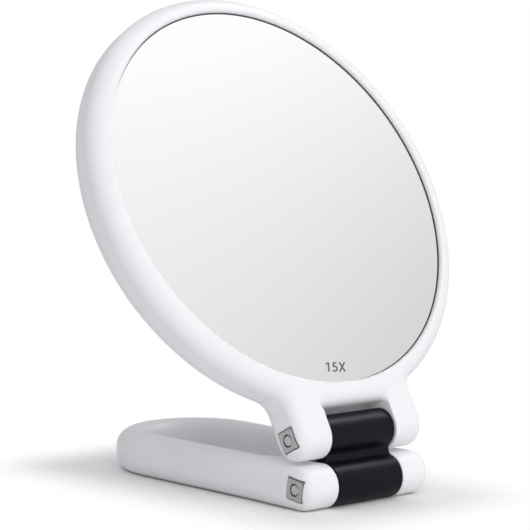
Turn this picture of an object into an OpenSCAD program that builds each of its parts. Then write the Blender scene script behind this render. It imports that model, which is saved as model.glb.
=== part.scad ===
// Double-sided hand mirror with a folding loop handle.
// A round head carries a concave magnifying mirror in front and a plain one behind.
// A link with two parallel pivots joins the head to a loop that is handle and stand.
// X runs along the pivots, +Y to the back of the loop, +Z up from the table.
// The origin is on the table, under the middle of the handle.

/* [Head] */
// Outside diameter of the mirror frame
ring_od = 150; // [130:1:170]
// Depth of the mirror frame, front to back
ring_depth = 16.6; // [15:0.1:18]
// Width of the band around each mirror
band_w = 6.7; // [5.6:0.1:9]
// Radius that rounds the frame's outer edges
ring_edge_r = 6.6; // [4:0.1:7]
// Radius that rounds the lip around each mirror
lip_r = 1.4; // [0.6:0.1:2]
// Depth of each mirror's rim below the frame's crest
glass_recess = 2.1; // [1.2:0.1:2.4]
// Thickness of the frame's outer wall
frame_wall = 3.0; // [2:0.1:4]
// Distance from the upper pivot to the frame's outer edge
neck_len = 8.1; // [7.6:0.1:16]

/* [Mirrors] */
// Thickness of each glass
glass_t = 2.0; // [1.6:0.1:2.4]
// Gap around each glass
glass_gap = 0.3; // [0.1:0.05:0.6]
// Depth of the magnifying mirror's hollow at its centre
hollow_depth = 4.2; // [3:0.1:4.4]
// Thickness of the tape that holds the glass
tape_t = 0.5; // [0.3:0.05:0.8]
// Width of the tape ring under the magnifying mirror
tape_w = 3.0; // [2:0.1:4]
// Thickness of the centre plate
plate_t = 1.8; // [1.5:0.1:2.4]
// Number of screws that hold the centre plate
plate_screws = 6; // [4:1:8]

/* [Hinge] */
// Width of each ear
ear_w = 13.1; // [11:0.1:16]
// Distance between the two ears of a pair
ear_gap = 29.2; // [24:0.2:34]
// Thickness of the ears, the link's lower barrel and the loop
hinge_d = 14.4; // [13:0.1:16]
// Thickness of the link's upper barrel
upper_barrel_d = 13.0; // [12.4:0.1:14]
// Gap between the two pairs of ears
barrel_gap = 1.4; // [1:0.1:3]
// Gap between the link and each ear
side_gap = 0.2; // [0.1:0.05:0.4]
// Gap between the link's barrels and the webs behind them
web_gap = 1.4; // [1:0.1:2.5]
// Thickness of the neck between the link's barrels
neck_t = 4.8; // [4:0.1:7]
// Radius that rounds the mouth of the notch above the upper barrel
notch_edge_r = 2.0; // [0.8:0.1:2.6]
// Radius that rounds the ears' outer edges
ear_edge_r = 4.2; // [3:0.1:5.4]

/* [Hardware] */
// Diameter of the hinge bolts
bolt_d = 4.0; // [3.5:0.1:5]
// Radial running clearance of a bolt in its sleeve
bolt_play = 0.06; // [0.03:0.01:0.1]
// Diameter of the bolt heads
bolt_head_d = 7.4; // [6.8:0.1:8]
// Thickness of the bolt heads
bolt_head_t = 2.4; // [1.8:0.1:2.8]
// Width across the flats of the square nuts
nut_w = 7.0; // [6.4:0.1:7.4]
// Thickness of the square nuts
nut_t = 3.2; // [2.2:0.1:3.6]
// Gap around the nuts and bolt heads in their pockets
pocket_gap = 0.2; // [0.1:0.05:0.4]
// Depth of the nuts and bolt heads below the ears' sides
pocket_sink = 0.4; // [0.2:0.1:0.8]
// Turn of the lower nut about its bolt, in degrees
lower_nut_turn = 8; // [-20:1:20]
// Wall of the steel sleeves in the link
sleeve_wall = 1.0; // [0.8:0.1:1.4]
// Outside diameter of the friction washers
washer_d = 11.0; // [9.5:0.1:12]
// Thickness of the friction washers
washer_t = 1.1; // [0.8:0.1:1.4]
// Thickness of the spring washers' metal
spring_t = 0.5; // [0.4:0.05:0.7]
// Rise of the spring washers' cone
spring_rise = 0.3; // [0.2:0.05:0.4]

/* [Handle] */
// Length of the handle, from the ears' front to the back of the loop
handle_len = 116.2; // [100:0.2:140]
// Radius that rounds the loop's edges
tube_r = 5.4; // [4:0.1:6]
// Width of the bridge between the lower barrel and the finger opening
bridge_w = 7.0; // [6:0.1:14]
// Wall of the hollow loop
loop_wall = 2.4; // [2:0.1:3]
// Width of the cover strip under the loop
cover_w = 6.0; // [5.4:0.1:6.6]
// Gap around the cover strip
cover_gap = 0.1; // [0.05:0.05:0.2]
// Diameter of the small screws' threads
screw_d = 2.0; // [1.6:0.1:2.4]
// Diameter of the small screws' heads
screw_head_d = 3.6; // [3.2:0.1:4]
// Height of the small screws' heads
screw_head_t = 1.1; // [0.8:0.1:1.2]
// Depth of the cover's screw heads below the cover
cover_screw_sink = 0.3; // [0.2:0.1:0.5]
// Length of the cover's screws
cover_screw_len = 8.0; // [6:0.5:10]
// Depth of a screw's hole beyond its tip
screw_tip_gap = 0.6; // [0.4:0.1:1]

/* [Pose] */
// Lean of the link back from upright, in degrees
link_lean = 12; // [0:1:20]
// Lean of the head back from upright, in degrees
head_lean = 28; // [0:1:40]

/* [Hidden] */
$fn = 96;
eps = 0.01;
far = 400;

// Hinge geometry
barrel_r = hinge_d / 2;
half_gap = ear_gap / 2;
half_w = half_gap + ear_w;
pivot_spacing = hinge_d + barrel_gap;
link_half = half_gap - side_gap;
upper_barrel_r = upper_barrel_d / 2;
web_y = barrel_r + web_gap;
upper_web_y = upper_barrel_r + web_gap;
neck_bite = 1;

// Handle geometry, measured from the lower pivot
pivot_y = barrel_r - handle_len / 2;
loop_end_y = handle_len - barrel_r - half_w;
opening_y = web_y + bridge_w + half_gap;
loop_mid = half_gap + ear_w / 2;
tunnel_r = tube_r - loop_wall;
cover_t = loop_wall;
strip_half = cover_w / 2 - cover_gap;
boss_d = screw_head_d + 1.6;
screw_head_gap = 0.2;
screw_hole_gap = 0.3;
loop_step = 0.1;
cover_screw_places = [[loop_mid, 0.12], [loop_mid, 0.92], [-loop_mid, 0.12], [-loop_mid, 0.92]];

// Head geometry, measured from the upper pivot
ring_r = ring_od / 2;
opening_r = ring_r - band_w;
half_depth = ring_depth / 2;
ring_up = neck_len + ring_r;
rim_n = half_depth - glass_recess;
glass_r = opening_r - glass_gap;
land_w = 0.6;
hollow_rim_r = glass_r - land_w;
hollow_r = (hollow_rim_r * hollow_rim_r + hollow_depth * hollow_depth) / (2 * hollow_depth);
tape_out_r = glass_r - 0.4;
tape_in_r = tape_out_r - tape_w;
bed_n = under_n(tape_in_r) - tape_t;
ledge_t = 2.0;
ledge_in_r = tape_in_r - 1;
seam_r = ring_r - frame_wall;
plate_back_n = -(rim_n - glass_t - tape_t);
plate_front_n = plate_back_n + plate_t;
plate_gap = 0.1;
boss_ring_r = opening_r - screw_head_d / 2 - 0.2;
plate_screw_len = bed_n - plate_back_n - 2 * screw_tip_gap;
core_wall = 1.6;

// Height of the hollow mirror's back at a radius
function under_n(r) = rim_n - glass_t - hollow_depth + hollow_r - sqrt(hollow_r * hollow_r - r * r);

// Hardware
bolt_r = bolt_d / 2 - bolt_play;
sleeve_in_r = bolt_d / 2;
sleeve_out_r = sleeve_in_r + sleeve_wall;
sleeve_gap = 0.05;
ear_bore_r = bolt_d / 2 + 0.1;
washer_sink = washer_t - side_gap / 2;
spring_h = spring_t + spring_rise;
head_pocket = pocket_sink + bolt_head_t + spring_h;
nut_pocket = pocket_sink + nut_t;
thread_stub = 0.25;
drive_d = bolt_d * 0.6;

// Places of the moving pieces

module at_lower_pivot() translate([0, pivot_y, barrel_r]) children();

module at_link() at_lower_pivot() rotate([-link_lean, 0, 0]) children();

module at_upper_pivot() at_link() translate([0, 0, pivot_spacing]) children();

// In the head's own frame X is along the pivot, Z towards the ring's centre, -Y to the front
module at_head() at_upper_pivot() rotate([link_lean - head_lean, 0, 0]) children();

// Turns a profile of radius and frontward offset about the ring's axis
module ring_turn() translate([0, 0, ring_up]) rotate([90, 0, 0]) rotate_extrude($fn = 180) children();

// A cylinder along X from x0 to x1
module x_rod(r, x0, x1) translate([x0, 0, 0]) rotate([0, 90, 0]) cylinder(r = r, h = x1 - x0);

// Turns a profile of radius and distance along the pivot about X
module pivot_turn() rotate([0, 90, 0]) rotate_extrude() children();

// Cross-sections

// A bar from x0 to x1 and from -h to h, with rounded corners
module rounded_bar(x0, x1, h, r) {
    translate([x0 + r, -h]) square([x1 - x0 - 2 * r, 2 * h]);
    translate([x0, -h + r]) square([x1 - x0, 2 * (h - r)]);
    for (x = [x0 + r, x1 - r], y = [-h + r, h - r]) translate([x, y]) circle(r = r);
}

// The loop's cross-section on the +X side, a small step inside the bridge block's
module tube_section()
    rounded_bar(half_gap + loop_step, half_w - loop_step, barrel_r - loop_step, tube_r);

// The hollow inside the loop
module tunnel_section()
    rounded_bar(half_gap + loop_wall, half_w - loop_wall, barrel_r - loop_wall, tunnel_r);

// The slot under the loop that the cover strip closes
module slot_section(half) translate([loop_mid - half, -barrel_r - 1]) square([2 * half, loop_wall + 1 + eps]);

// The whole frame band, from the opening to the outer edge
module band_section() intersection() {
    rounded_bar(opening_r - 2 * ring_edge_r, ring_r, half_depth, ring_edge_r);
    rounded_bar(opening_r, far, half_depth, lip_r);
}

// The frame without the space for the plate, the bezel and the rear mirror
module frame_section() {
    difference() {
        band_section();
        translate([0, -far]) square([seam_r, far + bed_n - ledge_t]);
        translate([opening_r + core_wall, 0])
            square([seam_r - opening_r - core_wall, half_depth - core_wall - lip_r]);
    }
    translate([ledge_in_r, bed_n - ledge_t]) square([opening_r + core_wall - ledge_in_r, ledge_t]);
}

// Everything in front of the hollow mirror surface, down to its centre
module hollow_cut() translate([0, rim_n + hollow_r - hollow_depth]) circle(r = hollow_r, $fn = 720);

// Ears

// The round end of one ear on the +X side, about the pivot
module ear_end() pivot_turn() {
    square_w = ear_w - ear_edge_r;
    translate([0, half_gap]) square([barrel_r, square_w]);
    translate([0, half_gap]) square([barrel_r - ear_edge_r, ear_w]);
    translate([barrel_r - ear_edge_r, half_w - ear_edge_r]) intersection() {
        circle(r = ear_edge_r);
        square(ear_edge_r);
    }
}

module ear_ends() for (s = [0, 1]) mirror([s, 0, 0]) ear_end();

// A block as wide as the hinge, with its outer edges rounded, that rises from the pivot
module hinge_block(length)
    linear_extrude(height = length) rounded_bar(-half_w, half_w, barrel_r, ear_edge_r);

// The notch between two ears, up to a height above the pivot, with its mouth rounded
module notch(web) rotate([90, 0, 90]) translate([0, 0, -half_gap]) linear_extrude(height = ear_gap) {
    translate([-far / 2, -far]) square([far, far + web]);
    for (s = [0, 1]) mirror([s, 0]) difference() {
        translate([barrel_r - notch_edge_r, 0]) square([far, web + notch_edge_r]);
        translate([barrel_r - notch_edge_r, web + notch_edge_r]) circle(r = notch_edge_r);
        translate([-far, web]) square([far + barrel_r - notch_edge_r, far]);
    }
}

// The bore, the square pocket on the left and the round one on the right
module hinge_pockets(turn) {
    pocket_w = nut_w + 2 * pocket_gap;
    x_rod(ear_bore_r, -far / 2, far / 2);
    x_rod(bolt_head_d / 2 + pocket_gap, half_w - head_pocket, far / 2);
    rotate([turn, 0, 0]) translate([-half_w - far + nut_pocket, -pocket_w / 2, -pocket_w / 2])
        cube([far, pocket_w, pocket_w]);
}

// Hinge hardware, about a pivot

module hinge_bolt() difference() {
    union() {
        x_rod(bolt_r, -half_w + pocket_sink - thread_stub, half_w - pocket_sink - eps);
        x_rod(bolt_head_d / 2, half_w - pocket_sink - bolt_head_t, half_w - pocket_sink);
    }
    translate([half_w - pocket_sink - bolt_head_t / 2, 0, 0]) rotate([0, 90, 0])
        cylinder(d = drive_d, h = far, $fn = 6);
}

module hinge_nut(turn) rotate([turn, 0, 0]) difference() {
    translate([-half_w + pocket_sink, -nut_w / 2, -nut_w / 2]) cube([nut_t, nut_w, nut_w]);
    x_rod(bolt_d / 2, -far / 2, 0);
}

// A coned disc spring between the bolt's head and the ear
module spring_washer() {
    seat = half_w - head_pocket;
    in_r = bolt_d / 2 + 0.1;
    out_r = bolt_head_d / 2;
    pivot_turn() polygon([
        [in_r, seat + spring_rise], [out_r, seat], [out_r, seat + spring_t],
        [in_r, seat + spring_rise + spring_t]
    ]);
}

module link_sleeve() {
    half = link_half - washer_sink;
    difference() {
        x_rod(sleeve_out_r, -half, half);
        x_rod(sleeve_in_r, -far / 2, far / 2);
    }
}

module friction_washers() for (s = [0, 1]) mirror([s, 0, 0]) difference() {
    x_rod(washer_d / 2, link_half - washer_sink, link_half - washer_sink + washer_t);
    x_rod(bolt_d / 2 + 0.1, 0, far / 2);
}

// A small countersunk-looking pan screw that points up, its head's face at z = 0
module small_screw(length) {
    cylinder(d = screw_d, h = length, $fn = 24);
    difference() {
        cylinder(d = screw_head_d, h = screw_head_t, $fn = 32);
        for (a = [0, 90]) rotate(a) translate([-screw_head_d / 3, -0.25, -eps])
            cube([screw_head_d * 2 / 3, 0.5, screw_head_t / 2]);
    }
}

// Handle

// Carries a cross-section along the two sides and round the back of the loop
module loop_sweep(y0) {
    for (s = [0, 1]) mirror([s, 0, 0]) translate([0, loop_end_y, 0]) rotate([90, 0, 0])
        linear_extrude(height = loop_end_y - y0) children();
    translate([0, loop_end_y, 0]) rotate_extrude(angle = 180) children();
}

// The block that holds the ears and the bridge, cut round where the finger opening starts
module bridge_block() difference() {
    rotate([-90, 0, 0]) hinge_block(opening_y);
    rotate([-90, 0, 0]) notch(web_y);
    translate([0, opening_y, -far / 2]) cylinder(r = half_gap, h = far);
}

// Places on the loop's two sides, as a fraction of their straight length
function screw_y(part) = opening_y + part * (loop_end_y - opening_y);

module at_cover_screws() for (p = cover_screw_places) translate([p[0], screw_y(p[1]), -barrel_r]) children();

module handle_frame() color("whitesmoke") at_lower_pivot() difference() {
    union() {
        difference() {
            union() {
                loop_sweep(opening_y - 2) tube_section();
                bridge_block();
                ear_ends();
            }
            loop_sweep(opening_y) tunnel_section();
            loop_sweep(opening_y) slot_section(cover_w / 2);
        }
        at_cover_screws() translate([0, 0, cover_t])
            cylinder(d = boss_d, h = 2 * barrel_r - cover_t - loop_wall + eps);
    }
    hinge_pockets(lower_nut_turn);
    at_cover_screws() cylinder(d = screw_d, h = cover_screw_sink + cover_screw_len + screw_tip_gap);
}

module handle_cover() color("gainsboro") at_lower_pivot() difference() {
    loop_sweep(opening_y + cover_gap) intersection() {
        rounded_bar(half_gap, half_w, barrel_r, tube_r);
        translate([loop_mid - strip_half, -barrel_r]) square([2 * strip_half, cover_t]);
    }
    at_cover_screws() {
        translate([0, 0, -eps])
            cylinder(d = screw_head_d + screw_head_gap, h = screw_head_t + cover_screw_sink + eps);
        cylinder(d = screw_d + screw_hole_gap, h = cover_t + 1);
    }
}

module handle_cover_screws() color("silver") at_lower_pivot() at_cover_screws()
    translate([0, 0, cover_screw_sink]) small_screw(cover_screw_len);

module lower_hinge_bolt() color("silver") at_lower_pivot() hinge_bolt();

module lower_hinge_nut() color("silver") at_lower_pivot() hinge_nut(lower_nut_turn);

module lower_spring_washer() color("gray") at_lower_pivot() spring_washer();

// Link

module hinge_link() color("midnightblue") at_link() difference() {
    union() {
        x_rod(barrel_r, -link_half, link_half);
        translate([0, 0, pivot_spacing]) x_rod(upper_barrel_r, -link_half, link_half);
        translate([-link_half, -neck_t / 2, neck_bite]) cube([2 * link_half, neck_t, pivot_spacing - 2 * neck_bite]);
    }
    for (z = [0, pivot_spacing]) translate([0, 0, z]) {
        x_rod(sleeve_out_r + sleeve_gap, -far / 2, far / 2);
        for (s = [0, 1]) mirror([s, 0, 0])
            x_rod(washer_d / 2 + sleeve_gap, link_half - washer_sink, far / 2);
    }
}

module lower_link_sleeve() color("silver") at_link() link_sleeve();

module upper_link_sleeve() color("silver") at_upper_pivot() link_sleeve();

module lower_friction_washers() color("ivory") at_link() friction_washers();

module upper_friction_washers() color("ivory") at_upper_pivot() friction_washers();

// Head

module upper_hinge_bolt() color("silver") at_head() hinge_bolt();

module upper_hinge_nut() color("silver") at_head() hinge_nut(0);

module upper_spring_washer() color("gray") at_head() spring_washer();

// Places of the centre plate's screws, as seen from behind the head
module at_plate_screws() translate([0, 0, ring_up]) rotate([90, 0, 0])
    for (i = [0 : plate_screws - 1]) rotate((i + 0.5) * 360 / plate_screws)
        translate([boss_ring_r, 0, plate_back_n]) children();

// The ears and the web between them, clear of the ring's inside
module lug() difference() {
    union() {
        hinge_block(ring_up - seam_r * cos(asin(half_w / ring_r)));
        ear_ends();
    }
    notch(upper_web_y);
    translate([0, 0, ring_up]) rotate([90, 0, 0]) translate([0, 0, -far / 2])
        cylinder(r = seam_r, h = far, $fn = 180);
}

// The part of the lug's front that carries on over the frame's crest
module lug_front() intersection() {
    hinge_block(ring_up - opening_r * cos(asin(half_w / ring_r)));
    ring_turn() translate([opening_r + lip_r, bed_n]) square([frame_wall, half_depth]);
}

module head_frame() color("whitesmoke") at_head() difference() {
    union() {
        ring_turn() frame_section();
        lug();
        lug_front();
        at_plate_screws() translate([0, 0, plate_t])
            cylinder(d = boss_d, h = bed_n - ledge_t - plate_front_n + eps);
    }
    hinge_pockets(0);
    at_plate_screws() cylinder(d = screw_d, h = plate_screw_len + screw_tip_gap);
}

module rear_bezel() color("whitesmoke") at_head() ring_turn() intersection() {
    band_section();
    translate([0, -far]) square([seam_r - plate_gap, far + plate_back_n]);
}

module centre_plate() color("lightgray") at_head() difference() {
    ring_turn() translate([0, plate_back_n]) square([seam_r - plate_gap, plate_t]);
    at_plate_screws() {
        translate([0, 0, -eps]) cylinder(d = screw_head_d + screw_head_gap, h = screw_head_t + eps);
        cylinder(d = screw_d + screw_hole_gap, h = plate_t + 1);
    }
}

module centre_plate_screws() color("silver") at_head() at_plate_screws()
    small_screw(plate_screw_len);

module magnifying_mirror() color("lightsteelblue") at_head() ring_turn() difference() {
    intersection() {
        translate([0, rim_n - glass_t - hollow_depth]) square([glass_r, glass_t + hollow_depth]);
        translate([0, rim_n - glass_t + hollow_r - hollow_depth]) circle(r = hollow_r, $fn = 720);
    }
    hollow_cut();
}

module magnifying_mirror_tape() color("dimgray") at_head() ring_turn() polygon([
    [tape_in_r, bed_n], [tape_out_r, bed_n],
    [tape_out_r, under_n(tape_out_r)], [tape_in_r, under_n(tape_in_r)]
]);

module plain_mirror() color("lightsteelblue") at_head() ring_turn()
    translate([0, -rim_n]) square([glass_r, glass_t]);

module plain_mirror_tape() color("dimgray") at_head() ring_turn()
    translate([0, plate_back_n - tape_t]) square([boss_ring_r - screw_head_d, tape_t]);

handle_frame();
handle_cover();
handle_cover_screws();
lower_hinge_bolt();
lower_hinge_nut();
lower_spring_washer();
hinge_link();
lower_link_sleeve();
upper_link_sleeve();
lower_friction_washers();
upper_friction_washers();
upper_hinge_bolt();
upper_hinge_nut();
upper_spring_washer();
head_frame();
rear_bezel();
centre_plate();
centre_plate_screws();
magnifying_mirror();
magnifying_mirror_tape();
plain_mirror();
plain_mirror_tape();
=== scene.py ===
# A folding double-sided hand mirror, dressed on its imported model.
# The visible shapes are distance fields in millimetres, and their meshes are made in metres.
# Piece by piece: handle, link, head with bezel and mirrors, hinge hardware, then camera and light.

import bpy
import math
import numpy as np
from mathutils import Matrix, Vector

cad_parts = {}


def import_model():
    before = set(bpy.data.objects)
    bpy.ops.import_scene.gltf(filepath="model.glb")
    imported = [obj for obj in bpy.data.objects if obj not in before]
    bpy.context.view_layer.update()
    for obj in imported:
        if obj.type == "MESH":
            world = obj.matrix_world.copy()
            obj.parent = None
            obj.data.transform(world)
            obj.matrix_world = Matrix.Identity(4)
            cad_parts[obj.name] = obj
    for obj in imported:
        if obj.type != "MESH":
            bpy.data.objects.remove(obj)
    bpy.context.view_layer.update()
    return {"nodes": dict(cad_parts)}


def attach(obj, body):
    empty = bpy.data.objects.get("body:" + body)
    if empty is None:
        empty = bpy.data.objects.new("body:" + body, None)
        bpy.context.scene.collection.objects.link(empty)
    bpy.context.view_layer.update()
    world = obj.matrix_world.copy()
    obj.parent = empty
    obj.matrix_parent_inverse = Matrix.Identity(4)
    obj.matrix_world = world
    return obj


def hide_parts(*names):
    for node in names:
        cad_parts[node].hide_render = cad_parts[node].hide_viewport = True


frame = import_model()

MM = 0.001
SHARP = math.radians(30)  # a turned piece keeps edges sharper than this
SIDES = 360  # of a turned piece
SLOPE_REACH = 0.02  # half the step of a field's gradient
LEAST_SLOPE = 0.2

# Head: R is the distance from the ring's axis and N the height in front of its middle plane
RING_R = 75.0
HALF_DEPTH = 8.3
OPENING_R = 68.3
RING_EDGE_R = 6.6  # the section's outer rounding
LIP_R = 1.4  # its inner rounding
CREST_EASE = 0.5
SEAM_R = 72.0  # the rear bezel lies inside this radius
SEAM_N = 1.0
SEAM_EASE = 0.25
BEZEL_GAP = 0.1
GLASS_R = 68.0
RIM_N = 6.2  # the front of the magnifying glass's rim, and the plain glass's face behind
GLASS_T = 2.0
HOLLOW_DEPTH = 4.2
HOLLOW_RIM_R = 67.8
RIM_TURN = 0.04  # the shading turns from the hollow to its flat rim within this
FACE_RINGS = 40
GLASS_CHAMFER = 0.12
PLAIN_CHAMFER = 0.15
SHADE_SEAL_DEPTH = 1.2
SHADE_SEAL_STANDS = 0.32
PLATE_BACK = 3.7  # the rear bezel begins this far behind the middle plane
RING_UP = 83.1  # from the upper pivot to the ring's middle
HEAD_LEAN = 28.0
LUG_INNER_R = 70.5
LUG_FILLET = 3.5
HEAD_NOTCH_R = 1.2
WALL_EASE = 0.4
CEILING_EASE = 3.2
HEAD_POCKET_EASE = 0.3

# Number on the magnifying glass: the first glyph's foot, and one unit across and up
PRINT_STROKE = 0.165
PRINT_START = np.array([-6.9, -63.6])
PRINT_ACROSS = np.array([4.04, -0.35])
PRINT_UP = np.array([1.5, 3.33])
PRINT_LOW = 0.002
PRINT_HIGH = 0.014
PRINT_LAYER = 0.001

# Hinge
HALF_GAP = 14.6
EAR_W = 13.1
HALF_W = HALF_GAP + EAR_W
BARREL_R = 7.2
UPPER_BARREL_R = 6.5
PIVOT_SPACING = 15.8
WEB_Y = 8.6  # the notch of the handle ends this far behind the lower pivot
UPPER_WEB = 7.9  # and that of the head this far above the upper one
SIDE_GAP = 0.2
NECK_T = 4.8
EAR_EDGE_R = 4.2
NECK_FILLET = 1.2
BARREL_EDGE_R = 0.45
LINK_LEAN = 12.0
BOLT_R = 1.94
BOLT_HEAD_R = 3.7
BOLT_HEAD_T = 2.4
BOLT_HEAD_EDGE_R = 0.45
BOLT_CHAMFER = 0.35
SHANK_EASE = 0.15
SOCKET_HALF = 1.25
SOCKET_DEPTH = 1.4
SOCKET_EASE = 0.25
THREAD_PITCH = 0.7
THREAD_DEPTH = 0.24
THREAD_FROM = 18.0
THREAD_RUNOUT = 0.5
NUT_HALF = 3.5
NUT_T = 3.2
NUT_EDGE_R = 0.3
NUT_CONE_R = 4.2
NUT_CONE_SLOPE = 1.9
NUT_BORE_R = 2.02
NUT_BORE_MOUTH_R = 2.1
POCKET_GAP = 0.2
POCKET_SINK = 0.4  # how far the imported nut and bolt's head lie below the ears' faces
POCKET_CORNER_R = 0.3
HEAD_POCKET = 3.6
HEAD_HOLE_EASE = 0.4
LOWER_NUT_TURN = 8.0
NUT_FACE = -HALF_W + 0.05
NUT_BACK = -HALF_W + POCKET_SINK + NUT_T
BOLT_TIP = -HALF_W + POCKET_SINK - 0.25
HEAD_TOP = HALF_W - POCKET_SINK

# Handle
PIVOT_Y = -50.9
OPENING_Y = 30.2  # the opening's two round ends, behind the lower pivot
LOOP_END_Y = 81.3
LOOP_MID = HALF_GAP + EAR_W / 2
TUBE_R = 5.4
TUBE_TOP_R = 6.4
HANDLE_NOTCH_R = 1.6
NOTCH_EASE = 0.5
WEB_EASE = 2.2
WEB_EASE_Y = 5.0
HANDLE_POCKET_EASE = 0.35
COVER_HALF = 3.0
COVER_T = 2.4
COVER_EASE = 0.2

# Distance fields: negative inside a solid, positive outside, in millimetres


def rounded(a, b, radius):
    """Two half spaces meet, and their edge is rounded to a true radius."""
    outside = np.hypot(np.maximum(a + radius, 0), np.maximum(b + radius, 0))
    return np.minimum(np.maximum(a, b) + radius, 0) + outside - radius


def join(a, b, blend):
    """Both solids, with a fillet where they meet."""
    near = np.maximum(blend - np.abs(a - b), 0) / blend
    return np.minimum(a, b) - near * near * blend / 4


def cut(a, b, blend):
    """The first solid without the second, with its new edge eased."""
    return -join(-a, b, blend)


def crest(a, b, blend):
    """Where both solids are, with the crease between them eased."""
    return -join(-a, -b, blend)


def fade(value, start, end):
    """0 before start, 1 after end."""
    return np.clip((value - start) / (end - start), 0, 1)


def ease(part):
    """A part from 0 to 1 with soft ends."""
    return part * part * (3 - 2 * part)


def turned(y, z, degrees):
    """y and z as seen by a piece that is turned about X."""
    a = math.radians(degrees)
    return y * math.cos(a) + z * math.sin(a), z * math.cos(a) - y * math.sin(a)


# Meshes


def steps(*spans):
    """Grid lines along an axis: each span is (start, end, cell)."""
    lines = [np.arange(start, end - cell / 2, cell) for start, end, cell in spans]
    return np.concatenate([*lines, [spans[-1][1]]])


def surface_net(field, axes):
    """Points and quads of the surface where a field is 0, one point in each cell it crosses."""
    value = field(*np.ix_(*axes))
    inside = value < 0
    shape = np.array(value.shape) - 1
    total = np.zeros((*shape, 3))
    count = np.zeros(shape)
    for axis in range(3):
        others = [a for a in range(3) if a != axis]
        low = np.moveaxis(value, axis, 0)[:-1]
        high = np.moveaxis(value, axis, 0)[1:]
        hit = np.argwhere((low < 0) != (high < 0))
        part = low[tuple(hit.T)] / (low[tuple(hit.T)] - high[tuple(hit.T)])
        cell = np.zeros_like(hit)
        cell[:, [axis, *others]] = hit
        place = np.stack([axes[a][cell[:, a]] for a in range(3)], axis=1)
        along = axes[axis]
        place[:, axis] += part * (along[cell[:, axis] + 1] - along[cell[:, axis]])
        for back in ((0, 0), (1, 0), (0, 1), (1, 1)):
            c = cell.copy()
            c[:, others] -= back
            ok = (c >= 0).all(1) & (c < shape).all(1)
            key = tuple(c[ok].T)
            np.add.at(total, key, place[ok])
            np.add.at(count, key, 1)
    active = count > 0
    index = np.full(shape, -1)
    index[active] = np.arange(active.sum())
    points = total[active] / count[active][:, None]
    quads = []
    for axis in range(3):
        others = [a for a in range(3) if a != axis]
        low = np.moveaxis(inside, axis, 0)[:-1, 1:-1, 1:-1]
        high = np.moveaxis(inside, axis, 0)[1:, 1:-1, 1:-1]
        hit = np.argwhere(low != high)
        outward = low[tuple(hit.T)] == (axis != 1)
        corners = []
        for back in ((1, 1), (0, 1), (0, 0), (1, 0)):
            c = np.zeros_like(hit)
            c[:, axis] = hit[:, 0]
            c[:, others[0]] = hit[:, 1] + 1 - back[0]
            c[:, others[1]] = hit[:, 2] + 1 - back[1]
            corners.append(index[tuple(c.T)])
        quad = np.stack(corners, axis=1)
        quad[~outward] = quad[~outward][:, ::-1]
        quads.append(quad)
    return points, np.concatenate(quads)


def slope(field, points):
    """The field's gradient at each point."""
    parts = []
    for axis in range(3):
        step = np.zeros(3)
        step[axis] = SLOPE_REACH
        parts.append((field(*(points + step).T) - field(*(points - step).T)) / (2 * SLOPE_REACH))
    return np.stack(parts, axis=1)


def make_mesh(name, points, faces, place, material, normals=None):
    """An object from points in millimetres, put in the row frame by a matrix."""
    mesh = bpy.data.meshes.new(name)
    spot = np.array(place)
    world = points * MM @ spot[:3, :3].T + spot[:3, 3]
    mesh.from_pydata(world.tolist(), [], faces.tolist() if hasattr(faces, "tolist") else faces)
    mesh.shade_smooth()
    if normals is not None:
        mesh.normals_split_custom_set_from_vertices((normals @ spot[:3, :3].T).tolist())
    mesh.materials.append(material)
    obj = bpy.data.objects.new(name, mesh)
    bpy.context.scene.collection.objects.link(obj)
    return obj


def ring_grid(r, angle, n):
    """The head's X, Y and Z for a grid that runs round the ring's axis."""
    return r * np.cos(angle), -n + 0 * r, RING_UP + r * np.sin(angle)


def welded(points, quads):
    """The same surface with points that share a place made one, so that a grid's ends meet."""
    _, first, same = np.unique(np.round(points, 5), axis=0, return_index=True, return_inverse=True)
    return points[first], same.ravel()[quads]


def solid(name, field, axes, place, material, bend=None):
    """A closed mesh of a distance field, with its points and shading true to the field.

    A few Newton steps put each point on the surface. A bend turns the grid's own axes into X, Y, Z.
    """
    if bend:
        points, quads = surface_net(lambda *grid: field(*bend(*grid)), axes)
        points, quads = welded(np.stack(bend(*points.T), axis=1), quads)
    else:
        points, quads = surface_net(field, axes)
    for _ in range(3):
        gradient = slope(field, points)
        size = np.maximum((gradient * gradient).sum(1), LEAST_SLOPE)
        points = points - gradient * (field(*points.T) / size)[:, None]
    gradient = slope(field, points)
    normals = gradient / np.maximum(np.linalg.norm(gradient, axis=1), 1e-6)[:, None]
    return make_mesh(name, points, quads, place, material, normals)


def arc(centre_r, centre_n, radius, start, end, count):
    """Points of radius and offset along an arc, from one angle to another."""
    angles = np.radians(np.linspace(start, end, count))
    return [(centre_r + radius * math.cos(a), centre_n + radius * math.sin(a)) for a in angles]


def lathe(name, profile, place, material):
    """A closed profile of (radius, offset along Z) turned about Z."""
    turns = np.linspace(0, 2 * math.pi, SIDES, endpoint=False)
    points, rings = [], []
    for radius, offset in profile:
        if radius < 1e-6:
            rings.append([len(points)] * SIDES)
            points.append((0, 0, offset))
        else:
            rings.append(list(range(len(points), len(points) + SIDES)))
            points.extend((radius * math.cos(t), radius * math.sin(t), offset) for t in turns)
    faces = []
    for a, b in zip(rings, rings[1:] + rings[:1]):
        for i in range(SIDES):
            j = (i + 1) % SIDES
            ring = dict.fromkeys((a[i], a[j], b[j], b[i]))
            if len(ring) > 2:
                faces.append(tuple(ring))
    obj = make_mesh(name, np.array(points), faces, place, material)
    obj.data.set_sharp_from_angle(angle=SHARP)
    return obj


# Places of the moving pieces, as matrices in the row frame


def lean(degrees):
    """A turn about X that leans a piece back."""
    return Matrix.Rotation(math.radians(-degrees), 4, "X")


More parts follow.
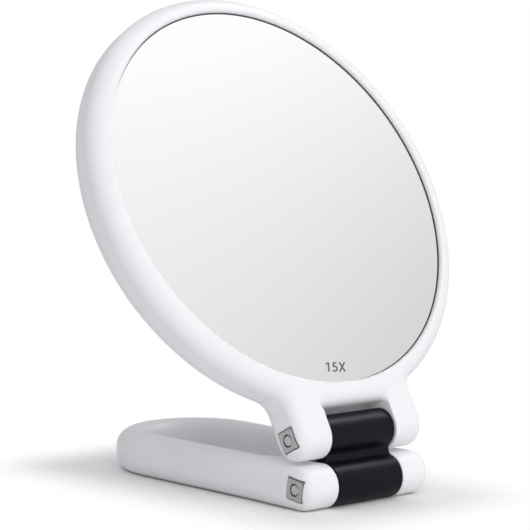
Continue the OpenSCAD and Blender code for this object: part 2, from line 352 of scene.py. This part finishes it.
LOWER_PIVOT = Matrix.Translation(Vector((0, PIVOT_Y, BARREL_R)) * MM)
LINK = LOWER_PIVOT @ lean(LINK_LEAN)
UPPER_PIVOT = LINK @ Matrix.Translation((0, 0, PIVOT_SPACING * MM))
HEAD = UPPER_PIVOT @ lean(HEAD_LEAN - LINK_LEAN)
# Z of this one is the ring's axis and points to the front
RING = HEAD @ Matrix.Translation((0, 0, RING_UP * MM)) @ Matrix.Rotation(math.radians(90), 4, "X")


# Shader nodes


def node_of(tree, kind, **inputs):
    """A new node with some of its inputs set or linked."""
    node = tree.nodes.new(kind)
    for name, value in inputs.items():
        socket = node.inputs[name.replace("_", " ")]
        if isinstance(value, bpy.types.NodeSocket):
            tree.links.new(value, socket)
        else:
            socket.default_value = value
    return node


def maths(tree, operation, first, second):
    """Two values, the second one a socket or a number, put together."""
    node = tree.nodes.new("ShaderNodeMath")
    node.operation = operation
    tree.links.new(first, node.inputs[0])
    if isinstance(second, bpy.types.NodeSocket):
        tree.links.new(second, node.inputs[1])
    else:
        node.inputs[1].default_value = second
    return node.outputs["Value"]


def vectors(tree, operation, first, second=(0, 0, 0), out="Vector"):
    """A vector and a constant one put together."""
    node = tree.nodes.new("ShaderNodeVectorMath")
    node.operation = operation
    tree.links.new(first, node.inputs[0])
    node.inputs[1].default_value = second
    return node.outputs[out]


def added(tree, first, second):
    """The sum of two shaders."""
    node = tree.nodes.new("ShaderNodeAddShader")
    tree.links.new(first, node.inputs[0])
    tree.links.new(second, node.inputs[1])
    return node.outputs["Shader"]


def mixed(tree, part, first, second):
    """Two shaders mixed by a value."""
    node = tree.nodes.new("ShaderNodeMixShader")
    tree.links.new(part, node.inputs[0])
    tree.links.new(first, node.inputs[1])
    tree.links.new(second, node.inputs[2])
    return node.outputs["Shader"]


def mapped(tree, value, start, end, low, high, smooth=False):
    """A value mapped from one range to another and held at the ends."""
    node = node_of(
        tree, "ShaderNodeMapRange", Value=value, From_Min=start, From_Max=end, To_Min=low,
        To_Max=high)
    if smooth:
        node.interpolation_type = "SMOOTHSTEP"
    return node.outputs["Result"]


def along(tree, direction, axis):
    """How far a direction points along an axis."""
    return vectors(tree, "DOT_PRODUCT", direction, Vector(axis).normalized(), "Value")


# Materials

NOISE_RANGE = (0.3, 0.7)  # where most of a noise's values lie
BUMP_STRENGTH = 0.5
PLASTIC_GRAIN_SCALE = 2600
PLASTIC_GRAIN = 0.000003
PLASTIC_TONE_SCALE = 45
PLASTIC_TONES = (0.985, 1.012)
PLASTIC_GLOSS = 0.04
STEEL_LINE_SCALE = 900
STEEL_LINES = (1, 12, 12)
STEEL_TONE_SCALE = 350
STEEL_TONES = (0.86, 1.1)
STEEL_GRAIN = 0.00001
SMEAR_SCALE = 30


def material(name, colour, roughness, metallic=0.0, specular=0.5):
    """A Principled material, its node tree and its shader."""
    m = bpy.data.materials.new(name)
    m.use_nodes = True
    shader = m.node_tree.nodes["Principled BSDF"]
    shader.inputs["Base Color"].default_value = (*colour, 1)
    shader.inputs["Roughness"].default_value = roughness
    shader.inputs["Metallic"].default_value = metallic
    shader.inputs["Specular IOR Level"].default_value = specular
    return m, m.node_tree, shader


def noise(tree, scale, detail, stretch=(1, 1, 1)):
    """A noise texture in object space."""
    where = tree.nodes.new("ShaderNodeTexCoord").outputs["Object"]
    mapping = node_of(tree, "ShaderNodeMapping", Vector=where, Scale=stretch)
    texture = node_of(
        tree, "ShaderNodeTexNoise", Vector=mapping.outputs["Vector"], Scale=scale, Detail=detail)
    return texture.outputs["Fac"]


def polish(tree, value, low, high, shader):
    """Roughness that wanders between two values."""
    tree.links.new(mapped(tree, value, *NOISE_RANGE, low, high), shader.inputs["Roughness"])


def bump(tree, value, height, shader):
    """A bump of that height in metres."""
    node = node_of(tree, "ShaderNodeBump", Height=value, Distance=height, Strength=BUMP_STRENGTH)
    tree.links.new(node.outputs["Normal"], shader.inputs["Normal"])


def tint(tree, value, colour, tones, shader):
    """Base colour that wanders between a darker and a lighter tone of it."""
    node = tree.nodes.new("ShaderNodeMix")
    node.data_type = "RGBA"
    for socket, tone in zip("AB", tones):
        node.inputs[socket].default_value = (*(min(c * tone, 1) for c in colour), 1)
    tree.links.new(value, node.inputs["Factor"])
    tree.links.new(node.outputs["Result"], shader.inputs["Base Color"])


def plastic(
        name, colour, roughness, grain_scale=PLASTIC_GRAIN_SCALE, grain=PLASTIC_GRAIN,
        specular=0.5):
    """Moulded plastic: a very fine texture, a faint change of gloss and of tone."""
    m, tree, shader = material(name, colour, roughness, specular=specular)
    slow = noise(tree, PLASTIC_TONE_SCALE, 2)
    polish(tree, slow, roughness - PLASTIC_GLOSS, roughness + PLASTIC_GLOSS, shader)
    tint(tree, slow, colour, PLASTIC_TONES, shader)
    bump(tree, noise(tree, grain_scale, 2), grain, shader)
    return m


def steel(name, colour, roughness):
    """Plated steel with fine drawn or ground lines."""
    m, tree, shader = material(name, colour, roughness, metallic=1.0)
    lines = noise(tree, STEEL_LINE_SCALE, 4, STEEL_LINES)
    polish(tree, lines, roughness - 0.08, roughness + 0.12, shader)
    tint(tree, noise(tree, STEEL_TONE_SCALE, 3), colour, STEEL_TONES, shader)
    bump(tree, lines, STEEL_GRAIN, shader)
    return m


def silvered(name, colour):
    """Mirror glass: nearly perfect, with the faintest smears."""
    m, tree, shader = material(name, colour, 0.015, metallic=1.0)
    polish(tree, noise(tree, SMEAR_SCALE, 4), 0.005, 0.03, shader)
    return m


WHITE = plastic("white_plastic", (0.86, 0.86, 0.872), 0.45, specular=0.4)
COVER = plastic("white_cover_plastic", (0.80, 0.80, 0.83), 0.45)
INNER = plastic("inner_plastic", (0.55, 0.55, 0.57), 0.5)
DARK = plastic("dark_plastic", (0.003, 0.004, 0.008), 0.4, 1800, 0.00001, 0.105)
NYLON = plastic("nylon", (0.75, 0.73, 0.66), 0.4)
BOLT = steel("bolt_steel", (0.46, 0.46, 0.47), 0.3)
NUT = steel("nut_steel", (0.42, 0.42, 0.43), 0.34)
SPRING = steel("spring_steel", (0.35, 0.35, 0.36), 0.35)
SLEEVE = steel("sleeve_steel", (0.55, 0.55, 0.56), 0.3)
SCREW = steel("screw_steel", (0.52, 0.52, 0.53), 0.34)
TAPE = plastic("foam_tape", (0.10, 0.10, 0.10), 0.8, 1200, 0.00006)
GLASS = silvered("magnifying_glass", (0.97, 0.97, 0.97))
PLAIN_GLASS = silvered("plain_glass", (0.97, 0.97, 0.97))
# Painted shade: a dark bead standing in for the shadow in the gap round each glass
SHADE_SEAL = plastic("painted_shade_seal", (0.055, 0.055, 0.06), 0.5)
PRINT = plastic("print", (0.09, 0.09, 0.093), 0.5)


def dress(obj, body, slot, *nodes):
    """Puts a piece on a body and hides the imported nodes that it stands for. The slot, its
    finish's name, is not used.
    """
    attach(obj, body)
    if nodes:
        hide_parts(*nodes)


# Handle, about the lower pivot: X along it, Y to the back, Z up


def pocket_field(x, y, z, turn):
    """The square pocket of a nut, in the left ear."""
    y, z = turned(y, z, turn)
    half = NUT_HALF + POCKET_GAP
    side = rounded(np.abs(y) - half, np.abs(z) - half, POCKET_CORNER_R)
    return np.maximum(side, x + HALF_W - POCKET_SINK - NUT_T)


def head_hole_field(x, y, z):
    """The round pocket of a bolt's head, in the right ear."""
    return np.maximum(np.hypot(y, z) - BOLT_HEAD_R - POCKET_GAP, HALF_W - HEAD_POCKET - x)


def handle_field(x, y, z):
    """The ears, the flat loop they turn into, and the slot of its cover below."""
    rho = np.where(y < 0, np.hypot(y, z), np.abs(z))
    across = np.where(y > LOOP_END_Y, np.hypot(x, y - LOOP_END_Y), np.abs(x))
    hole = HALF_GAP - np.hypot(x, y - np.clip(y, OPENING_Y, LOOP_END_Y))
    side = np.maximum(across - HALF_W, hole)
    ears = rounded(side, rho - BARREL_R, EAR_EDGE_R)
    loop = np.where(
        z > 0, rounded(side, rho - BARREL_R, TUBE_TOP_R), rounded(side, rho - BARREL_R, TUBE_R))
    body = ears + (loop - ears) * ease(fade(y, 0, OPENING_Y))
    notch = rounded(np.abs(x) - HALF_GAP, y - WEB_Y, HANDLE_NOTCH_R)
    body = cut(body, notch, NOTCH_EASE + WEB_EASE * fade(y, WEB_EASE_Y, WEB_Y))
    middle = np.abs(across - LOOP_MID) - COVER_HALF
    slot = np.maximum(np.maximum(middle, z + BARREL_R - COVER_T), OPENING_Y - y)
    body = cut(body, slot, COVER_EASE)
    body = cut(body, pocket_field(x, y, z, LOWER_NUT_TURN), HANDLE_POCKET_EASE)
    return cut(body, head_hole_field(x, y, z), HEAD_HOLE_EASE)


handle_grid = (
    steps((-28.6, -20, 0.3), (-20, 20, 0.5), (20, 28.6, 0.4)),
    steps((-8, 10, 0.3), (10, 110, 0.6)),
    steps((-8, 8, 0.32)))
handle = solid("handle_shell", handle_field, handle_grid, LOWER_PIVOT, WHITE)
dress(handle, "handle", "white_plastic", "handle_frame")


# Link, about its lower pivot


def link_field(x, y, z):
    """Two barrels and the neck between them."""
    low = np.hypot(y, z) - BARREL_R
    high = np.hypot(y, z - PIVOT_SPACING) - UPPER_BARREL_R
    neck = np.maximum(np.abs(y) - NECK_T / 2, np.abs(z - PIVOT_SPACING / 2) - PIVOT_SPACING / 2)
    profile = join(np.minimum(low, high), neck, NECK_FILLET)
    return rounded(profile, np.abs(x) - HALF_GAP + SIDE_GAP, BARREL_EDGE_R)


link_grid = (
    steps((-14.8, -12.5, 0.25), (-12.5, 12.5, 1.0), (12.5, 14.8, 0.25)),
    steps((-7.8, 7.8, 0.3)),
    steps((-7.8, 23.6, 0.3)))
link = solid("link", link_field, link_grid, LINK, DARK)
dress(link, "link", "dark_plastic", "hinge_link")


# Head, about the upper pivot: X along it, N to the front, Z to the ring's centre


def head_field(x, y, z):
    """The ring's band, its lug and ears, and the seat of the rear bezel."""
    n = -y
    r = np.hypot(x, z - RING_UP)
    outer = rounded(r - RING_R, np.abs(n) - HALF_DEPTH, RING_EDGE_R)
    lip = rounded(OPENING_R - r, np.abs(n) - HALF_DEPTH, LIP_R)
    band = crest(outer, lip, CREST_EASE)
    rho = np.where(z < 0, np.hypot(n, z), np.abs(n))
    lug = rounded(np.abs(x) - HALF_W, rho - BARREL_R, EAR_EDGE_R)
    lug = np.maximum(np.maximum(lug, z - RING_UP), LUG_INNER_R - r)
    body = join(band, lug, LUG_FILLET)
    notch = rounded(np.abs(x) - HALF_GAP, z - UPPER_WEB, HEAD_NOTCH_R)
    # Only the edge of the notch's ceiling is well rounded, its two walls are crisp
    ceiling = fade(z - UPPER_WEB - np.abs(x) + HALF_GAP, -1.5, 0.5)
    body = cut(body, notch, WALL_EASE + CEILING_EASE * ceiling)
    body = cut(body, np.maximum(r - SEAM_R, n - SEAM_N), SEAM_EASE)
    body = np.maximum(body, OPENING_R - r)
    body = cut(body, pocket_field(x, y, z, 0), HEAD_POCKET_EASE)
    return cut(body, head_hole_field(x, y, z), HEAD_HOLE_EASE)


# The angles run one cell past a full turn, so that the ends can be welded
head_angles = steps((-114, -66, 0.25), (-66, 246, 1.4))
head_angles = np.radians(np.append(head_angles, head_angles[1] + 360))
head_grid = (steps((67.9, 76.3, 0.21), (76.3, 95.5, 0.28)), head_angles, steps((-8.6, 8.6, 0.3)))
head = solid("head_shell", head_field, head_grid, HEAD, WHITE, ring_grid)
dress(head, "head", "white_plastic", "head_frame")


# Rear bezel: the band's back half inside the seam, with the crease between its two arcs eased
edge_mid = (RING_R - RING_EDGE_R, RING_EDGE_R - HALF_DEPTH)
lip_mid = (OPENING_R + LIP_R, LIP_R - HALF_DEPTH)
bezel_r = SEAM_R - BEZEL_GAP
seam_drop = math.sqrt(RING_EDGE_R ** 2 - (bezel_r - edge_mid[0]) ** 2)
seam_angle = math.degrees(math.asin(-seam_drop / RING_EDGE_R))
bezel_profile = [(OPENING_R, -PLATE_BACK), (bezel_r, -PLATE_BACK)]
bezel_profile += arc(*edge_mid, RING_EDGE_R, seam_angle, -80, 14)
bezel_profile += arc(*lip_mid, LIP_R, -104, -180, 10)
bezel = lathe("rear_bezel_ring", bezel_profile, RING, WHITE)
dress(bezel, "head", "white_plastic", "rear_bezel")


# Mirrors: the glass has a ground edge, a small chamfer round its face


def hollow_n(r, top):
    """Height of a hollow face at a radius, with its rim at top."""
    curve_r = (HOLLOW_RIM_R ** 2 + HOLLOW_DEPTH ** 2) / (2 * HOLLOW_DEPTH)
    return top - HOLLOW_DEPTH + curve_r - math.sqrt(curve_r ** 2 - r * r)


face = [(r, hollow_n(r, RIM_N)) for r in np.linspace(0, HOLLOW_RIM_R - RIM_TURN, FACE_RINGS)]
under = [(r, hollow_n(r, RIM_N - GLASS_T)) for r in np.linspace(HOLLOW_RIM_R, 0, FACE_RINGS)]
magnifier = lathe(
    "magnifying_glass",
    [*face, (HOLLOW_RIM_R, RIM_N), (HOLLOW_RIM_R + RIM_TURN, RIM_N),
     (GLASS_R - GLASS_CHAMFER, RIM_N), (GLASS_R, RIM_N - GLASS_CHAMFER),
     (GLASS_R, RIM_N - GLASS_T), *under],
    RING, GLASS)
dress(magnifier, "head", "magnifying_glass", "magnifying_mirror")

plain = lathe(
    "plain_glass",
    [(0, -RIM_N), (GLASS_R - PLAIN_CHAMFER, -RIM_N), (GLASS_R, -RIM_N + PLAIN_CHAMFER),
     (GLASS_R, -RIM_N + GLASS_T), (0, -RIM_N + GLASS_T)],
    RING, PLAIN_GLASS)
dress(plain, "head", "plain_glass", "plain_mirror")


def shade_seal(name, front):
    """A dark bead in the gap between a glass and the frame, on the front or the back: painted shade
    that stands in for the shadow in that gap and its reflection in the glass.
    """
    low, high = RIM_N - SHADE_SEAL_DEPTH, RIM_N + SHADE_SEAL_STANDS
    inner, outer = GLASS_R + 0.02, OPENING_R - 0.01
    profile = [
        (inner, low), (outer, low), (outer, high), (outer - 0.1, high + 0.05), (inner + 0.06, high),
        (inner, high - 0.08)]
    if not front:
        profile = [(r, -n) for r, n in reversed(profile)]
    dress(lathe(name, profile, RING, SHADE_SEAL), "head", "foam_tape")


# Two dark beads of painted shade, where the gap round each glass lies in shadow
shade_seal("front_shade_seal", True)
shade_seal("back_shade_seal", False)


def stroke(path, width):
    """The left and right edges of a stroke along a path, with square ends."""
    path = np.array(path, float)
    step = np.diff(path, axis=0)
    step /= np.linalg.norm(step, axis=1)[:, None]
    aside = np.stack([-step[:, 1], step[:, 0]], axis=1)
    turn = np.vstack([aside[:1], aside[:-1] + aside[1:], aside[-1:]])
    turn /= (turn * np.vstack([aside[:1], aside])).sum(1)[:, None]
    return path + turn * width / 2, path - turn * width / 2


def even(*corners):
    """Points along a path of straight runs, eight to a run."""
    runs = [np.linspace(a, b, 8, endpoint=False) for a, b in zip(corners, corners[1:])]
    return np.concatenate([*runs, [corners[-1]]])


def number_print():
    """15X in thin strokes that lie on the hollow glass, one unit tall before they are placed."""
    bowl = arc(0.93, 0.32, 0.25, 125, -140, 22)
    strokes = [
        even((0.29, 1.0), (0.29, 0.0)), even((0.02, 0.80), (0.22, 0.93), (0.29, 0.98)),
        even((1.16, 0.93), (0.83, 0.93), bowl[0]), np.array(bowl),
        even((1.46, 1.0), (2.03, 0.0)), even((2.03, 1.0), (1.46, 0.0))]
    points, faces = [], []
    for layer, path in enumerate(strokes):
        left, right = stroke(path, PRINT_STROKE)
        for height in (PRINT_LOW, PRINT_HIGH + PRINT_LAYER * layer):
            for side in (left, right):
                spots = np.outer(side[:, 0], PRINT_ACROSS) + np.outer(side[:, 1], PRINT_UP)
                x, z = (PRINT_START + spots).T
                n = [hollow_n(r, RIM_N) + height for r in np.hypot(x, z)]
                points.append(np.stack([x, z, n], axis=1))
        count = len(path)
        base = 4 * sum(len(p) for p in strokes[:layer])
        rows = [base, base + 2 * count, base + 3 * count, base + count]
        for a, b in zip(rows, rows[1:] + rows[:1]):
            faces += [(b + i, b + i + 1, a + i + 1, a + i) for i in range(count - 1)]
        faces += [tuple(rows), tuple(row + count - 1 for row in reversed(rows))]
    obj = make_mesh("number_print", np.concatenate(points), faces, RING, PRINT)
    obj.data.set_sharp_from_angle(angle=SHARP)
    dress(obj, "head", "dark_plastic")


number_print()


# Hinge hardware, about a pivot: X along it, the nut on the left and the bolt's head on the right


def thread(x, y, z):
    """How deep a helical groove is at a place."""
    turn = x / THREAD_PITCH + np.arctan2(z, y) / (2 * math.pi)
    return THREAD_DEPTH * np.abs(2 * (turn - np.floor(turn)) - 1)


def bolt_field(x, y, z):
    """A threaded shank with a chamfered tip, and a round head with a hexagon socket."""
    r = np.hypot(y, z)
    core = r - BOLT_R + thread(x, y, z) * fade(-x, THREAD_FROM, THREAD_FROM + THREAD_RUNOUT)
    shank = crest(core, np.maximum(BOLT_TIP - x, x - HEAD_TOP + 0.5), SHANK_EASE)
    shank = crest(shank, (r - BOLT_R + BOLT_CHAMFER + (BOLT_TIP - x)) * 0.7, SHANK_EASE)
    ends = np.maximum(x - HEAD_TOP, HEAD_TOP - BOLT_HEAD_T - x)
    head = rounded(r - BOLT_HEAD_R, ends, BOLT_HEAD_EDGE_R)
    flats = [np.abs(y * math.cos(a) + z * math.sin(a)) for a in (0, math.pi / 3, 2 * math.pi / 3)]
    hexagon = np.maximum(np.maximum(flats[0], flats[1]), flats[2]) - SOCKET_HALF
    socket = np.maximum(hexagon, HEAD_TOP - SOCKET_DEPTH - x)
    return cut(np.minimum(shank, head), socket, SOCKET_EASE)


def nut_field(x, y, z):
    """A square nut with its corners turned to a cone, and a chamfered bore."""
    r = np.hypot(y, z)
    side = rounded(np.abs(y) - NUT_HALF, np.abs(z) - NUT_HALF, NUT_EDGE_R)
    body = rounded(side, np.maximum(NUT_FACE - x, x - NUT_BACK), NUT_EDGE_R)
    body = crest(body, (r - NUT_CONE_R - NUT_CONE_SLOPE * (x - NUT_FACE)) * 0.46, 0.12)
    body = cut(body, r - NUT_BORE_R, 0.05)
    return cut(body, (r - NUT_BORE_MOUTH_R + (x - NUT_FACE)) * 0.7, 0.08)


across_grid = steps((-3.86, 3.86, 0.13))
bolt_lines = steps((-27.8, -23.8, 0.1), (-23.8, 24.4, 1.4), (24.4, 27.6, 0.12))
bolt_grid = (bolt_lines, across_grid, across_grid)
nut_grid = (steps((-27.9, -23.9, 0.12)), across_grid, across_grid)
for level, body, place, turn in (
        ("lower", "handle", LOWER_PIVOT, LOWER_NUT_TURN), ("upper", "head", HEAD, 0)):
    bolt = solid(level + "_bolt", bolt_field, bolt_grid, place, BOLT)
    dress(bolt, body, "bolt_steel", level + "_hinge_bolt")
    turned_place = place @ Matrix.Rotation(math.radians(turn), 4, "X")
    nut = solid(level + "_nut", nut_field, nut_grid, turned_place, NUT)
    dress(nut, body, "nut_steel", level + "_hinge_nut")


# CAD nodes that keep their shape
for node, finish in {
    "handle_cover": COVER, "handle_cover_screws": SCREW, "lower_spring_washer": SPRING,
    "lower_link_sleeve": SLEEVE, "upper_link_sleeve": SLEEVE, "lower_friction_washers": NYLON,
    "upper_friction_washers": NYLON, "upper_spring_washer": SPRING, "centre_plate": INNER,
    "centre_plate_screws": SCREW, "magnifying_mirror_tape": TAPE, "plain_mirror_tape": TAPE,
}.items():
    mesh = frame["nodes"][node].data
    mesh.materials.clear()
    mesh.materials.append(finish)


# Camera, at the photo's view
AZIMUTH = -42.04
ELEVATION = 5.22
ROLL = 0.26
DISTANCE = 707.2
AIM = Vector((-40.57, PIVOT_Y, 79.9))
FOCAL_PX = 2271.2
FRAME_PX = 530
SENSOR_MM = 36

azimuth = math.radians(AZIMUTH)
elevation = math.radians(ELEVATION)
flat = math.cos(elevation)
back = Vector((math.sin(azimuth) * flat, -math.cos(azimuth) * flat, math.sin(elevation)))
camera = bpy.data.objects.new("camera", bpy.data.cameras.new("camera"))
bpy.context.scene.collection.objects.link(camera)
camera.data.sensor_width = SENSOR_MM
camera.data.lens = FOCAL_PX / FRAME_PX * SENSOR_MM
camera.data.clip_start = 0.05
camera.data.clip_end = 50
upright = back.to_track_quat("Z", "Y").to_matrix().to_4x4()
roll = Matrix.Rotation(math.radians(ROLL), 4, "Z")
camera.matrix_world = Matrix.Translation((AIM + back * DISTANCE) * MM) @ upright @ roll
bpy.context.scene.camera = camera


# Stage and light, in metres

FLOOR_FAR = 6.0
FLOOR_BOUNCE = (0.8, 0.8, 0.8, 1)  # what lights the object from below
FLOOR_SEEN = (0.9, 0.895, 0.88, 1)  # what the camera sees near the handle
FLOOR_HALF = (0.0277, 0.0581, 1)  # half the handle's outline
FLOOR_FADE = (0.0, 0.038)  # the fade starts and ends this far outside it
WHITE_LIGHT = (1, 1, 1, 1)
COOL_LIGHT = (0.92, 0.95, 1.0, 1)
# Where each soft light comes from, its strength and its colour
SOFT_LIGHTS = (((-0.18, -0.86, 0.44), 2.25, WHITE_LIGHT), ((0.2, 0.7, 0.65), 0.95, COOL_LIGHT))
LIGHT_NARROW = 8
SURROUND_LEVEL = 0.25
# What mirrors show: a gradient along an axis, and a spot towards the side lamp
MIRROR_AXIS = (0.434, -0.487, -0.758)
MIRROR_SPAN = (0, 0.15)
MIRROR_TONES = (0.69, 1.02)
MIRROR_DIM = -0.44
SIDE_CONE = (0.975, 0.995)
SIDE_GLOSS = 8.5
SIDE_LAMP = (0.80, 0.0, 0.90)
SIDE_TARGET = (0, -0.03, 0.03)
SIDE_SIZE = 0.42
SIDE_POWER = 0.5


def side_lamp():
    """A soft lamp on the right."""
    lamp = bpy.data.lights.new("side", "AREA")
    lamp.shape = "DISK"
    lamp.size = SIDE_SIZE
    lamp.energy = SIDE_POWER
    obj = bpy.data.objects.new("side", lamp)
    obj.location = SIDE_LAMP
    away = Vector(SIDE_TARGET) - Vector(SIDE_LAMP)
    obj.rotation_euler = away.to_track_quat("-Z", "Y").to_euler()
    bpy.context.scene.collection.objects.link(obj)


def floor():
    """A pale floor that keeps the object's shadow and fades away round it, and is clear from below.

    The head can turn lower than the handle, and is then still seen and lit.
    """
    mesh = bpy.data.meshes.new("floor")
    corners = [(-1, -1), (1, -1), (1, 1), (-1, 1)]
    mesh.from_pydata([(x * FLOOR_FAR, y * FLOOR_FAR, 0) for x, y in corners], [], [(0, 1, 2, 3)])
    obj = bpy.data.objects.new("floor", mesh)
    bpy.context.scene.collection.objects.link(obj)
    m = bpy.data.materials.new("floor")
    m.use_nodes = True
    tree = m.node_tree
    tree.nodes.remove(tree.nodes["Principled BSDF"])
    rays = tree.nodes.new("ShaderNodeLightPath").outputs
    bounce = node_of(tree, "ShaderNodeBsdfDiffuse", Color=FLOOR_BOUNCE).outputs["BSDF"]
    shade = node_of(tree, "ShaderNodeBsdfDiffuse", Color=FLOOR_SEEN).outputs["BSDF"]
    white = node_of(tree, "ShaderNodeEmission", Color=WHITE_LIGHT, Strength=1.0).outputs["Emission"]
    clear = tree.nodes.new("ShaderNodeBsdfTransparent").outputs["BSDF"]
    below = tree.nodes.new("ShaderNodeNewGeometry").outputs["Backfacing"]
    # How far a place is outside the handle's outline
    spot = vectors(tree, "ABSOLUTE", tree.nodes.new("ShaderNodeTexCoord").outputs["Object"])
    spot = vectors(tree, "MAXIMUM", vectors(tree, "SUBTRACT", spot, FLOOR_HALF))
    away = mapped(tree, vectors(tree, "LENGTH", spot, out="Value"), *FLOOR_FADE, 0, 1, True)
    # The camera sees through the floor where it has faded, to a world that is as white
    shown = mixed(tree, away, shade, mixed(tree, rays["Is Camera Ray"], white, clear))
    seen = maths(tree, "MAXIMUM", rays["Is Camera Ray"], rays["Is Glossy Ray"])
    result = mixed(tree, below, mixed(tree, seen, bounce, shown), clear)
    tree.links.new(result, tree.nodes["Material Output"].inputs["Surface"])
    mesh.materials.append(m)


def glow(tree, colour, strength):
    """A background of one colour."""
    node = node_of(tree, "ShaderNodeBackground", Color=colour, Strength=strength)
    return node.outputs["Background"]


def world():
    """A dim surround and two wide soft lights, with a soft gradient in what mirrors show."""
    w = bpy.data.worlds.new("studio")
    bpy.context.scene.world = w
    w.use_nodes = True
    tree = w.node_tree
    direction = tree.nodes.new("ShaderNodeTexCoord").outputs["Generated"]
    light = glow(tree, COOL_LIGHT, SURROUND_LEVEL)
    for source, strength, colour in SOFT_LIGHTS:
        facing = mapped(tree, along(tree, direction, source), -1, 1, 0, 1)
        level = maths(tree, "MULTIPLY", maths(tree, "POWER", facing, LIGHT_NARROW), strength)
        light = added(tree, light, glow(tree, colour, level))
    rays = tree.nodes.new("ShaderNodeLightPath").outputs
    height = along(tree, direction, MIRROR_AXIS)
    bright = mapped(tree, height, *MIRROR_SPAN, *MIRROR_TONES)
    tone = maths(tree, "ADD", bright, mapped(tree, height, -1, 0, MIRROR_DIM, 0))
    spot = mapped(tree, along(tree, direction, SIDE_LAMP), *SIDE_CONE, 0, SIDE_GLOSS, True)
    # Without this, white plastic that sees the spot by way of a mirror is speckled
    direct = mapped(tree, rays["Diffuse Depth"], 0, 1, 1, 0)
    tone = maths(tree, "ADD", tone, maths(tree, "MULTIPLY", spot, direct))
    result = mixed(tree, rays["Is Glossy Ray"], light, glow(tree, WHITE_LIGHT, tone))
    result = mixed(tree, rays["Is Camera Ray"], result, glow(tree, WHITE_LIGHT, 1.0))
    tree.links.new(result, tree.nodes["World Output"].inputs["Surface"])


bpy.context.scene.view_settings.view_transform = "Standard"
floor()
world()
side_lamp()
